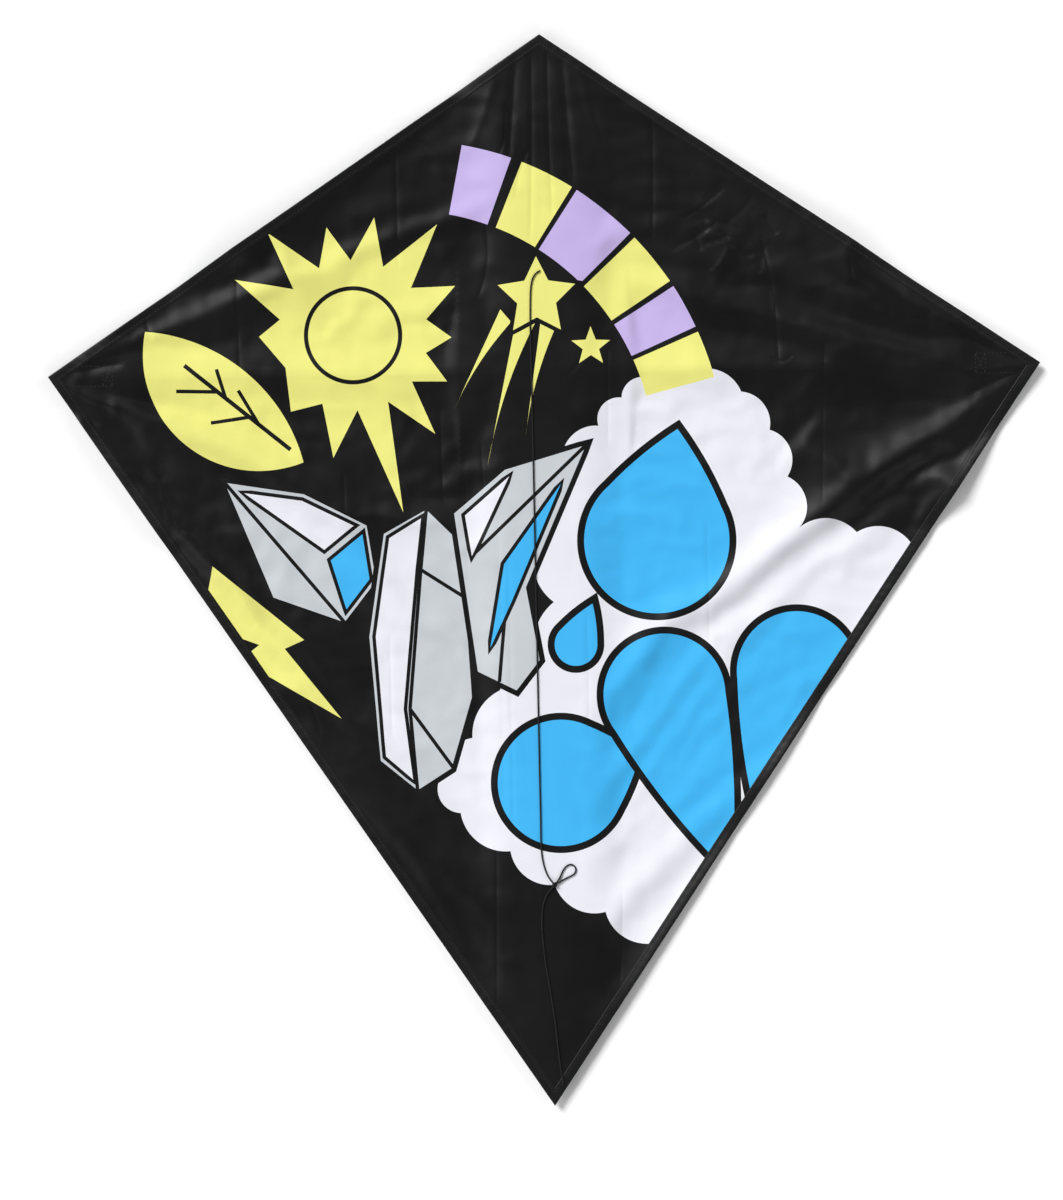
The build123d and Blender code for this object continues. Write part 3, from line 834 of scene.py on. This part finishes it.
# ---------------------------------------------------------------- sail mesh
MESH_STEP = 3.7
LINE_STEP = 3.2
PATCH_STEP = 1.9
CLOTH_THICKNESS = 0.3
EDGE_MARGIN = 1.6
SAME_PLACE = 1.7
points, edges = [], []


def add_chain(chain, closed):
    first = len(points)
    points.extend((float(x), float(y)) for x, y in chain)
    edges.extend((first + i, first + i + 1) for i in range(len(chain) - 1))
    if closed:
        edges.append((len(points) - 1, first))


def crease_line(start, end, bow, shift):
    """The crease's own line, moved sideways by shift mm."""
    length, ux, uy = heading_of(start, end)
    s = np.linspace(0.0, 1.0, max(3, int(length / LINE_STEP)))
    side_step = bow_of(s, bow) + shift
    return np.column_stack([
        start[0] + (end[0] - start[0]) * s - uy * side_step,
        start[1] + (end[1] - start[1]) * s + ux * side_step,
    ])


add_chain(rim_points(MESH_STEP), True)
for _, polygon in paint:
    add_chain(polygon, True)
seam_top = NOSE_Y - SEAM_X * (NOSE_Y - SPAR_Y) / TIP_X
seam_bottom = TAIL_Y + SEAM_X * (SPAR_Y - TAIL_Y) / TIP_X
for side in (-1, 1):
    ends = (side * SEAM_X, seam_bottom), (side * SEAM_X, seam_top)
    add_chain(edge_points(*ends, MESH_STEP) + [ends[1]], False)
for folds, shifts in ((CREASES, (-1.5, -0.5, 0.5, 1.5)), (CRUMPLE, (-1.2, 0.0, 1.2))):
    for start, end, _, width, bow in folds:
        for shift in shifts:
            add_chain(crease_line(start, end, bow, shift * width), False)
near = kdtree.KDTree(len(points))
for i, (x, y) in enumerate(points):
    near.insert((x, y, 0), i)
near.balance()
filler = [p for p in lattice(MESH_STEP, EDGE_MARGIN) if not BLEND_START - 4 < abs(p[0]) < BLEND_END + 4]
crumple_patch = [
    (x, y)
    for x in np.arange(CRUMPLE_X[0] - 8, CRUMPLE_X[1] + 8, PATCH_STEP)
    for y in np.arange(CRUMPLE_Y[0] - 8, CRUMPLE_Y[1] + 8, PATCH_STEP)
]
bend_columns = [
    (side * x, y)
    for side in (-1, 1)
    for x in np.arange(BLEND_START - 2, BLEND_END + 4, 2.0)
    for y in np.arange(TAIL_Y, NOSE_Y, MESH_STEP)
]
filler += [p for p in crumple_patch + bend_columns if inner_distance(*p) > EDGE_MARGIN]
for x, y in filler:
    if near.find((x, y, 0))[2] > SAME_PLACE:
        points.append((float(x), float(y)))
found = delaunay_2d_cdt([Vector(p) for p in points], edges, [], 0, 0.0005)
flat = np.array([(v.x, v.y) for v in found[0]])
triangles = np.array([f for f in found[2] if len(f) == 3])
centres = flat[triangles].mean(1)
keep = inner_distance(centres[:, 0], centres[:, 1]) > 0
triangles, centres = triangles[keep], centres[keep]
ink_of = np.zeros(len(triangles), int)
for ink, polygon in paint:
    ink_of[inside(polygon, centres)] = INK_NAMES.index(ink)


def link_mesh(name, verts, faces, materials, indices=None, uv=None, normals=None):
    """A mesh object from arrays in mm, with cloth coordinates in metres as its UV map."""
    data = bpy.data.meshes.new(name)
    verts = np.asarray(verts, float)
    data.from_pydata([tuple(v) for v in verts * MM], [], [tuple(int(i) for i in f) for f in faces])
    for item in materials:
        data.materials.append(item)
    if indices is not None:
        data.polygons.foreach_set("material_index", np.asarray(indices, np.int32))
    uv = verts[:, :2] if uv is None else np.asarray(uv, float)
    layer = data.uv_layers.new(name="cloth")
    corner = np.zeros(len(data.loops), np.int32)
    data.loops.foreach_get("vertex_index", corner)
    layer.data.foreach_set("uv", (uv[corner] * MM).astype(np.float32).ravel())
    data.polygons.foreach_set("use_smooth", [len(f) <= 4 for f in faces])
    if normals is not None:
        data.normals_split_custom_set_from_vertices([tuple(n) for n in normals])
    data.update()
    return add_object(name, data)


def sail_piece(name, chosen, node):
    """The chosen triangles as a thin closed sheet, printed in front and paler behind."""
    tri, inks = triangles[chosen], ink_of[chosen]
    used, local = np.unique(tri.ravel(), return_inverse=True)
    tri = local.reshape(-1, 3)
    xy = flat[used]
    z = sail_z(xy[:, 0], xy[:, 1])
    up = sail_normal(xy[:, 0], xy[:, 1])
    count = len(used)
    front = np.column_stack([xy, z])
    back = np.column_stack([xy, z - CLOTH_THICKNESS])
    directed = np.vstack([tri[:, [0, 1]], tri[:, [1, 2]], tri[:, [2, 0]]])
    _, first, times = np.unique(np.sort(directed, 1), axis=0, return_index=True, return_counts=True)
    open_edges = directed[first[times == 1]]
    faces = [tuple(t) for t in tri] + [(a + count, c + count, b + count) for a, b, c in tri]
    faces += [(b, a, a + count, b + count) for a, b in open_edges]
    shift = len(INK_NAMES)
    indices = np.concatenate([inks, inks + shift, np.full(len(open_edges), shift)])
    piece = link_mesh(
        name, np.vstack([front, back]), faces, front_inks + back_inks, indices,
        uv=np.vstack([xy, xy]), normals=np.vstack([up, -up]),
    )
    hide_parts(node)
    return piece


centre_sail = sail_piece("sail_centre_cloth", np.abs(centres[:, 0]) < SEAM_X, "sail_centre")
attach(centre_sail, "spine_frame")
wing_sails = {}
for side, word in SIDE_NAME.items():
    wing_sails[side] = sail_piece(f"sail_{word}_cloth", centres[:, 0] * side > SEAM_X, f"sail_{word}")


def bend_at_hub(piece):
    """Bakes the piece's placement into its mesh."""
    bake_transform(piece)


# ---------------------------------------------------------------- stitches and hem tape


BEAD_SIDES = 6
# Along the stitch in its lengths, size in its radii, rise in its radii
BEAD = ((-0.5, 0.25, -0.35), (-0.32, 0.9, 0.0), (0.0, 1.0, 0.1), (0.32, 0.9, 0.0), (0.5, 0.25, -0.35))


def stitch_row(start, end, pitch=3.4, length=2.5, radius=0.3, lift=0.0):
    """Thread stitches along a line on the sail, each a small bead that dips at both ends."""
    verts, faces = [], []
    run, ux, uy = heading_of(start, end)
    count = int(run / pitch)
    for middle in (np.arange(count) + 0.5) * run / count:
        base = len(verts)
        for along, size, rise in BEAD:
            px = start[0] + ux * (middle + along * length)
            py = start[1] + uy * (middle + along * length)
            for k in range(BEAD_SIDES):
                a = k * 2 * math.pi / BEAD_SIDES
                verts.append((
                    px - uy * radius * size * math.cos(a), py + ux * radius * size * math.cos(a),
                    radius * size * 0.8 * math.sin(a) + rise * radius + lift,
                ))
        bead_faces = ring_faces(len(BEAD), BEAD_SIDES)
        faces += [tuple(base + i for i in face) for face in bead_faces]
    verts = np.array(verts)
    verts[:, 2] += sail_z(verts[:, 0], verts[:, 1])
    return verts, faces


def merge(parts):
    """Joins (verts, faces, material index, uv) parts into one set of arrays."""
    all_verts, all_faces, all_index, all_uv = [], [], [], []
    offset = 0
    for verts, faces, index, uv in parts:
        all_verts.append(verts)
        all_faces += [tuple(i + offset for i in f) for f in faces]
        all_index += [index] * len(faces)
        all_uv.append(verts[:, :2] if uv is None else uv)
        offset += len(verts)
    return np.vstack(all_verts), all_faces, all_index, np.vstack(all_uv)


def ring_faces(rings, size, caps=True):
    """Quads between closed rings of equal size, and the two end faces."""
    faces = []
    for i in range(rings - 1):
        for k in range(size):
            a, b = i * size + k, i * size + (k + 1) % size
            faces.append((a, b, b + size, a + size))
    if caps:
        faces.append(tuple(range(size - 1, -1, -1)))
        faces.append(tuple((rings - 1) * size + k for k in range(size)))
    return faces


END_INSET = 0.05


def stations(start, end, step):
    """Places along a sweep, with one just inside each end, so that the flat end doesn't tilt the shading."""
    s = np.linspace(start, end, max(4, int(abs(end - start) / step)))
    inset = math.copysign(END_INSET, end - start)
    return np.concatenate([[s[0], s[0] + inset], s[1:-1], [s[-1] - inset, s[-1]]])


# The folded tape's section: depth from the sail's edge, height from the middle of the cloth
TAPE_PROFILE = [
    (9.1, 0.05), (9.0, 0.34), (8.2, 0.5), (7.0, 0.41), (6.3, 0.37), (5.2, 0.48), (3.0, 0.52), (1.0, 0.52),
    (0.1, 0.42), (-0.25, 0.0), (0.1, -0.36), (1.0, -0.55), (4.0, -0.6), (7.5, -0.52), (9.0, -0.42),
    (9.1, -0.25),
]
TAPE_STEP = 2.2
PROFILE_STEP = 1.2  # cloth length between two points of the section
PUCKER, PUCKER_PITCH = 0.16, 9.0
DEEPEST_PUCKER = -0.07  # the sail stays covered where the tape dips
DRIFT_SPAN = 25
DRIFT_HEIGHT, DRIFT_SIDEWAYS = 0.12, 0.22
END_CALM = 8.0
SEWING_DEPTH, SEWING_LIFT = 6.5, 0.22
NOSE_MITRE = (NOSE_Y - SPAR_Y) / TIP_X
TAIL_MITRE = (SPAR_Y - TAIL_Y) / TIP_X
TIP_MITRE = math.tan((math.atan(TIP_X / (NOSE_Y - SPAR_Y)) + math.atan(TIP_X / (SPAR_Y - TAIL_Y))) / 2)
tape_noise = np.random.default_rng(5)


def tape_part(start, end, inward, first_mitre, last_mitre):
    """Hem tape folded over the sail's edge, puckered by its stitching and cut to a mitre at its ends."""
    run, ux, uy = heading_of(start, end)
    s = stations(0.0, run, TAPE_STEP)
    count = len(s)
    phase = np.cumsum(tape_noise.normal(0, 0.25, count))
    drift = tape_noise.normal(0, 1.0, count + DRIFT_SPAN - 1)
    drift = np.convolve(drift, np.hanning(DRIFT_SPAN) / ((DRIFT_SPAN - 1) / 2), "valid")[:count]
    rest = ease(s / END_CALM) * ease((run - s) / END_CALM)
    drift = drift * rest
    pucker = PUCKER * np.sin(s * 2 * math.pi / PUCKER_PITCH + phase) * rest + DRIFT_HEIGHT * drift
    sections = np.zeros((count, len(TAPE_PROFILE), 3))
    uv = np.zeros((count, len(TAPE_PROFILE), 2))
    for k, (d, h) in enumerate(TAPE_PROFILE):
        wave = pucker * (0.4 + 0.6 * min(1.0, abs(h)))
        if h > 0:
            wave = np.maximum(wave, DEEPEST_PUCKER)
        reach = d + (DRIFT_SIDEWAYS * drift if d > 8 else 0.0)
        run_s = s + first_mitre * d * (1.0 - s / run) - last_mitre * d * s / run
        px = start[0] + ux * run_s + inward[0] * reach
        py = start[1] + uy * run_s + inward[1] * reach
        sections[:, k] = np.column_stack([px, py, sail_z(px, py) - CLOTH_THICKNESS / 2 + h + wave])
        uv[:, k] = np.column_stack([s, np.full(count, k * PROFILE_STEP)])
    faces = ring_faces(count, len(TAPE_PROFILE))
    if ux * inward[1] - uy * inward[0] < 0:
        faces = [tuple(reversed(face)) for face in faces]
    return sections.reshape(-1, 3), faces, 0, uv.reshape(-1, 2)


def hem_line(corner, tip):
    """The hem from the seam line beside a nose or tail corner to a wing tip, and its inward direction."""
    share = SEAM_X / TIP_X
    start = (corner[0] + (tip[0] - corner[0]) * share, corner[1] + (tip[1] - corner[1]) * share)
    _, ux, uy = heading_of(start, tip)
    inward = np.array([-uy, ux])
    middle = np.array([(start[0] + tip[0]) / 2, (start[1] + tip[1]) / 2])
    if np.dot(inward, np.array([0.0, SPAR_Y]) - middle) < 0:
        inward = -inward
    return start, tip, inward


def hem_sewing(start, end, inward, first_mitre, last_mitre):
    """The row of stitches that holds the tape, in the dip of its profile."""
    run, ux, uy = heading_of(start, end)
    row = [
        (start[0] + ux * s + inward[0] * SEWING_DEPTH, start[1] + uy * s + inward[1] * SEWING_DEPTH)
        for s in (first_mitre * SEWING_DEPTH, run - last_mitre * SEWING_DEPTH)
    ]
    return *stitch_row(*row, lift=SEWING_LIFT), 1, None


def hem_run(*where):
    return [tape_part(*where), hem_sewing(*where)]


def hem_piece(name, node, parts):
    verts, faces, index, uv = merge(parts)
    hem = link_mesh(name, verts, faces, [tape, thread], index, uv)
    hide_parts(node)
    return hem


hem_pieces = {-1: [], 1: [], 0: []}
for side, tip in ((-1, LEFT_TIP), (1, RIGHT_TIP)):
    for level, corner in (("upper", NOSE), ("lower", TAIL)):
        place = f"{level}_{SIDE_NAME[side]}"
        parts = hem_run(*hem_line(corner, tip), 0.0, TIP_MITRE)
        hem = hem_piece(f"hem_{place}_tape", f"binding_{place}", parts)
        bend_at_hub(hem)
        hem_pieces[side].append(hem)
for label, corner, mitre in (("nose", NOSE, NOSE_MITRE), ("tail", TAIL, TAIL_MITRE)):
    parts = []
    for tip in (LEFT_TIP, RIGHT_TIP):
        start, _, inward = hem_line(corner, tip)
        parts += hem_run(corner, start, inward, mitre, 0.0)
    hem = hem_piece(f"hem_{label}_tape", f"{label}_binding", parts)
    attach(hem, "spine_frame")
    hem_pieces[0].append(hem)
for side in (-1, 1):
    bend_at_hub(wing_sails[side])

# ---------------------------------------------------------------- tunnels on the back
SLEEVE_BORE, POCKET_BORE = 2.5, 3.1
POCKET_HALF_WIDTH = 11.0
WING_POCKET_START, WING_POCKET_END = 401.0, 453.5
TUNNEL_WALL = 0.4
TUNNEL_STEP = 2.5
BELOW_SAIL = 0.06
SHUT_LENGTH = 6.0
FLAT_BESIDE_BORE = 5.0
ACROSS = ((-1, -0.62, 4), (-0.58, 0.58, 25), (0.62, 1, 4))  # flange, wrap, flange: shares of the half width
LOWEST_LINING = 0.03
tunnel_noise = np.random.default_rng(23)


def tunnel(node, along_x, start, end, half_width, bore, closed_end=None):
    """A strip of lining sewn flat to the sail's back at both sides that wraps round the rod between them.
    It runs from start to end along x or y; closed_end is the end where it is sewn shut over the rod's cap."""
    across = np.concatenate([np.linspace(*part) for part in ACROSS])
    s = stations(start, end, TUNNEL_STEP)
    count = len(s)
    grid_s, grid_c = np.meshgrid(s, across, indexing="ij")
    centre = SPAR_Y if along_x else 0.0
    room = inner_distance(s, centre) if along_x else inner_distance(0.0, s)
    corner_slope = 1.05 if along_x else 1.35
    half = np.minimum(half_width, np.maximum(room * corner_slope - 1.0, 2.0))
    grid_c = grid_c * half[:, None]
    x, y = (grid_s, centre + grid_c) if along_x else (grid_c, grid_s)
    flange = sail_z(x, y) - CLOTH_THICKNESS - BELOW_SAIL
    shut = np.ones_like(s) if closed_end is None else ease(np.abs(closed_end - s) / SHUT_LENGTH)
    flat_at = bore + FLAT_BESIDE_BORE
    wrap = ease((flat_at - np.abs(grid_c)) / (flat_at - 1.3)) * shut[:, None]
    lowest = max(ROD_Z - bore - TUNNEL_WALL, 0.05)
    waves = np.zeros_like(grid_s)
    for _ in range(7):
        length, lean, phase = (tunnel_noise.uniform(*limits) for limits in ((9, 34), (-0.6, 0.6), (0, 6.28)))
        waves += 0.1 * np.sin(2 * math.pi * (grid_s + lean * grid_c) / length + phase)
    outer = flange - TUNNEL_WALL * 0.4 - (flange - lowest) * wrap - waves * 4.0 * wrap * (1.0 - wrap)
    outer = np.maximum(outer, LOWEST_LINING)
    inner = outer + TUNNEL_WALL * 0.55
    ring = np.concatenate([np.stack([x, y, outer], 2), np.stack([x, y, inner], 2)[:, ::-1]], 1)
    middle = count // 2
    arc = np.concatenate([[0.0], np.cumsum(np.hypot(np.diff(grid_c[middle]), np.diff(outer[middle])))])
    around = np.concatenate([arc, arc[::-1]])
    if not along_x:
        ring, around = ring[:, ::-1], around[::-1]
    uv = np.stack(np.broadcast_arrays(around, s[:, None]), 2).reshape(-1, 2)
    piece = link_mesh(node + "_cloth", ring.reshape(-1, 3), ring_faces(count, len(around)), [lining], uv=uv)
    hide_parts(node)
    return piece


for node, start, end, half_width, bore, shut_at in (
    ("spine_sleeve_upper", 206.5, 440.5, SEAM_X, SLEEVE_BORE, None),
    ("spine_sleeve_lower", -434.5, 167.5, SEAM_X, SLEEVE_BORE, None),
    ("nose_pocket", 441.0, 493.0, POCKET_HALF_WIDTH, POCKET_BORE, 493.0),
    ("tail_pocket", -487.5, -435.0, POCKET_HALF_WIDTH, POCKET_BORE, -487.5),
):
    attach(tunnel(node, False, start, end, half_width, bore, shut_at), "spine_frame")
for side, word in SIDE_NAME.items():
    start, end = sorted((side * WING_POCKET_START, side * WING_POCKET_END))
    pocket = tunnel(
        f"wing_pocket_{word}", True, start, end, POCKET_HALF_WIDTH, POCKET_BORE, side * WING_POCKET_END
    )
    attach(pocket, BODY_OF_SIDE[side])

# ---------------------------------------------------------------- sewing on the face and the back


BACK_LIFT = 0.45
POCKET_SEAM = 9.4
BOX_INNER, BOX_MIDDLE, BOX_OUTER = 403.0, 412.0, 440.0


def sewing(name, rows, body):
    """A piece of stitch rows: (start, end, whether it shows on the back)."""
    parts = []
    for start, end, behind in rows:
        verts, faces = stitch_row(start, end)
        if behind:
            surface = sail_z(verts[:, 0], verts[:, 1])
            verts[:, 2] = 2.0 * surface - verts[:, 2] - CLOTH_THICKNESS - BACK_LIFT
            faces = [tuple(reversed(f)) for f in faces]
        parts.append((verts, faces, 0, None))
    verts, faces, index, uv = merge(parts)
    piece = link_mesh(name, verts, faces, [thread], index, uv)
    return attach(piece, body)


spine_rows = [
    ((x, low), (x, high), True)
    for low, high, seam in (
        (-433.0, 165.0, 12.9), (208.0, 439.0, 12.9), (443.0, 484.0, 9.9), (-478.0, -437.0, 9.9),
    )
    for x in (-seam, seam)
]
sleeve_sewing = sewing("sleeve_stitching", spine_rows, "spine_frame")
low, high = SPAR_Y - POCKET_SEAM, SPAR_Y + POCKET_SEAM
box_rows = [((BOX_INNER, y), (BOX_OUTER, y), False) for y in (low, high)]
box_rows += [((x, low), (x, high), False) for x in (BOX_INNER, BOX_MIDDLE)]
box_rows += [((BOX_INNER, a), (BOX_MIDDLE, b), False) for a, b in ((low, high), (high, low))]
box_rows += [((BOX_INNER + 1, y), (BOX_OUTER, y), True) for y in (low, high)]
for side, word in SIDE_NAME.items():
    rows = [((side * x0, y0), (side * x1, y1), behind) for (x0, y0), (x1, y1), behind in box_rows]
    sewing(f"pocket_stitching_{word}", rows, BODY_OF_SIDE[side])

# ---------------------------------------------------------------- knots
KNOT_POINTS, LINE_SIDES = 96, 12


def knot(name, node, centre, scale, radius, tall, turn):
    """A tight overhand knot: a trefoil of line about the centre, given in mm."""
    t = np.linspace(0, 2 * math.pi, KNOT_POINTS + 1)[:-1]
    path = np.column_stack([
        np.sin(t) + 2 * np.sin(2 * t), np.cos(t) - 2 * np.cos(2 * t), -tall * np.sin(3 * t),
    ]) * scale
    c, d = math.cos(turn), math.sin(turn)
    path = path @ np.array([[c, d, 0], [-d, c, 0], [0, 0, 1]]) + np.array(centre)
    tangent = np.roll(path, -1, 0) - np.roll(path, 1, 0)
    tangent /= np.linalg.norm(tangent, axis=1)[:, None]
    side_way = np.cross(tangent, [0.0, 0.0, 1.0])
    side_way /= np.linalg.norm(side_way, axis=1)[:, None]
    other = np.cross(side_way, tangent)
    a = -np.arange(LINE_SIDES)[:, None] / LINE_SIDES * 2 * math.pi
    sections = path[:, None] + radius * (side_way[:, None] * np.cos(a) + other[:, None] * np.sin(a))
    faces = ring_faces(KNOT_POINTS, LINE_SIDES, caps=False)
    last = (KNOT_POINTS - 1) * LINE_SIDES
    faces += [(last + k, last + (k + 1) % LINE_SIDES, (k + 1) % LINE_SIDES, k) for k in range(LINE_SIDES)]
    piece = link_mesh(name, sections.reshape(-1, 3), faces, [line])
    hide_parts(node)
    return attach(piece, "spine_frame")


tow_knot = knot("tow_knot_turns", "tow_knot", (3.0, -293.6, 9.65), 0.62, 0.74, 2.1, 0.5)
tail_knot = knot("tail_knot_turns", "bridle_tail_knot", (8.05, -481.7, 4.9), 0.48, 0.62, 2.6, 0.0)

# ---------------------------------------------------------------- floor and light
FLOOR_Z = -0.3 * MM  # just under the kite's lowest faces
floor = flat_square("studio_floor", 30, FLOOR_Z)
floor_graph = Graph("studio_floor_paint")
floor_graph.shader.inputs["Base Color"].default_value = (0.94, 0.94, 0.94, 1)
floor_graph.shader.inputs["Roughness"].default_value = 0.9
floor.data.materials.append(floor_graph.material)


def add_lamp(name, kind, place, energy, **settings):
    """A light aimed at the kite's middle from the place, in metres."""
    data = bpy.data.lights.new(name, kind)
    data.energy = energy
    for key, value in settings.items():
        setattr(data, key, value)
    lamp = add_object(name, data)
    lamp.location = place
    lamp.rotation_euler = (-Vector(place)).to_track_quat("-Z", "Y").to_euler()


# The key light is a broad soft sun, so that the floor stays pale all the way out in low views.
add_lamp("key", "SUN", (-2.3, 2.5, 2.6), 3.5, angle=0.42)
for name, place, power in (
    ("fill_left", (-3.2, -1.6, 2.0), 44.0), ("fill_right", (3.3, 1.4, 2.0), 44.0),
    ("fill_front", (1.6, -3.4, 2.4), 40.0),
):
    add_lamp(name, "AREA", place, power, shape="SQUARE", size=2.4)
world = bpy.data.worlds.new("studio")
world.use_nodes = True
world.node_tree.nodes["Background"].inputs["Color"].default_value = (1, 1, 1, 1)
world.node_tree.nodes["Background"].inputs["Strength"].default_value = 0.10
bpy.context.scene.world = world
bpy.context.scene.view_settings.view_transform = "Standard"
